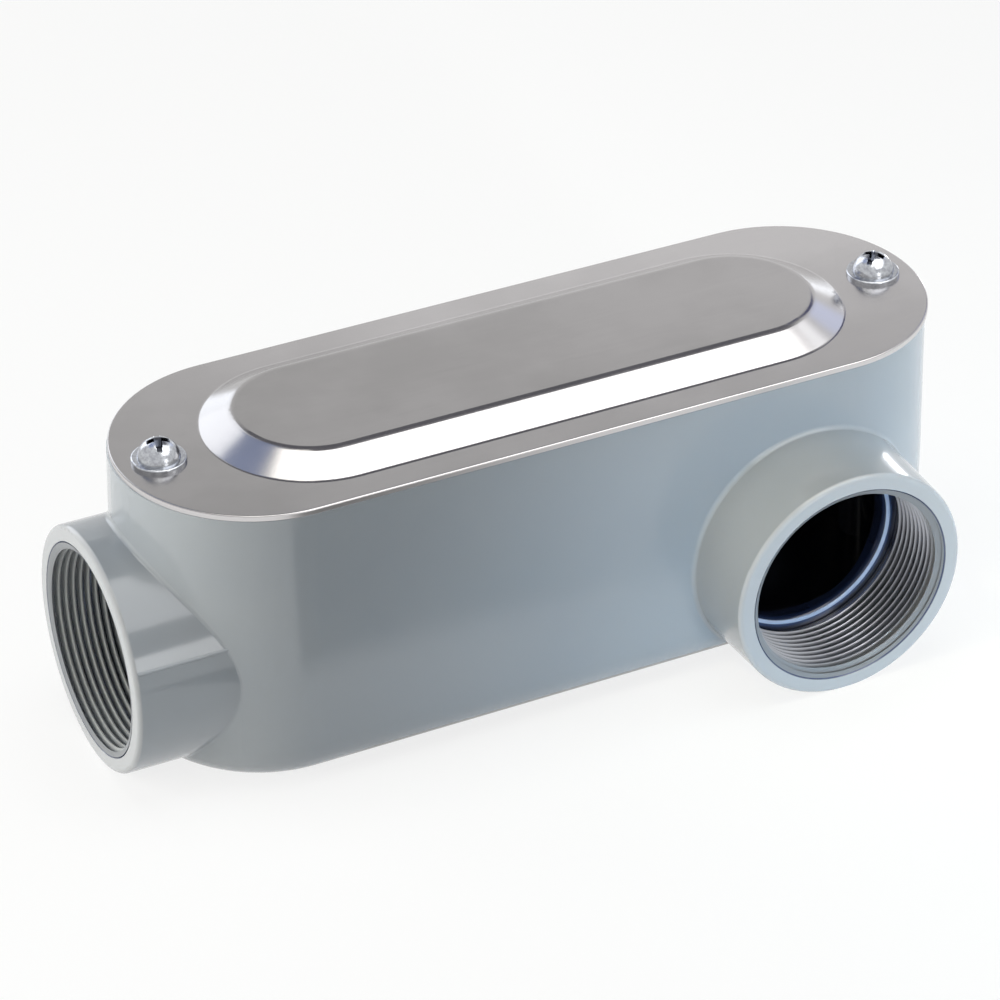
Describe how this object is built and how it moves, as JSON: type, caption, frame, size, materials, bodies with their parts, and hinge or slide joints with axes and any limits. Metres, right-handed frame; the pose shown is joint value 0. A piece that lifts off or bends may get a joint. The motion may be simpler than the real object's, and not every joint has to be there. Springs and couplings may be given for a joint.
{
  "type": "conduit body",
  "caption": "Long conduit body with rounded ends, a threaded hub at its end, another on its right side, and a raised sheet cover screwed down over a gasket.",
  "frame": {"origin": "on the flat back, midway between the centres of the two round ends", "axes": "+X along the body from the end hub to the closed end, +Z from the back out through the cover, -Y out of the side hub"},
  "size_m": [0.2578, 0.1075, 0.0965],
  "materials": {
    "enamel": "smooth grey gloss enamel on a die casting, bare machined metal in the threads",
    "cover_sheet": "satin rolled sheet, bright at its folds and edge",
    "gasket_rubber": "flat black sheet rubber",
    "screw_zinc": "bright zinc plate"
  },
  "bodies": {
    "root": {"body_casting": "enamel", "gasket": "gasket_rubber", "cover": "cover_sheet", "cover_screw_hub_end": "screw_zinc", "cover_screw_far_end": "screw_zinc"}
  },
  "joints": []
}
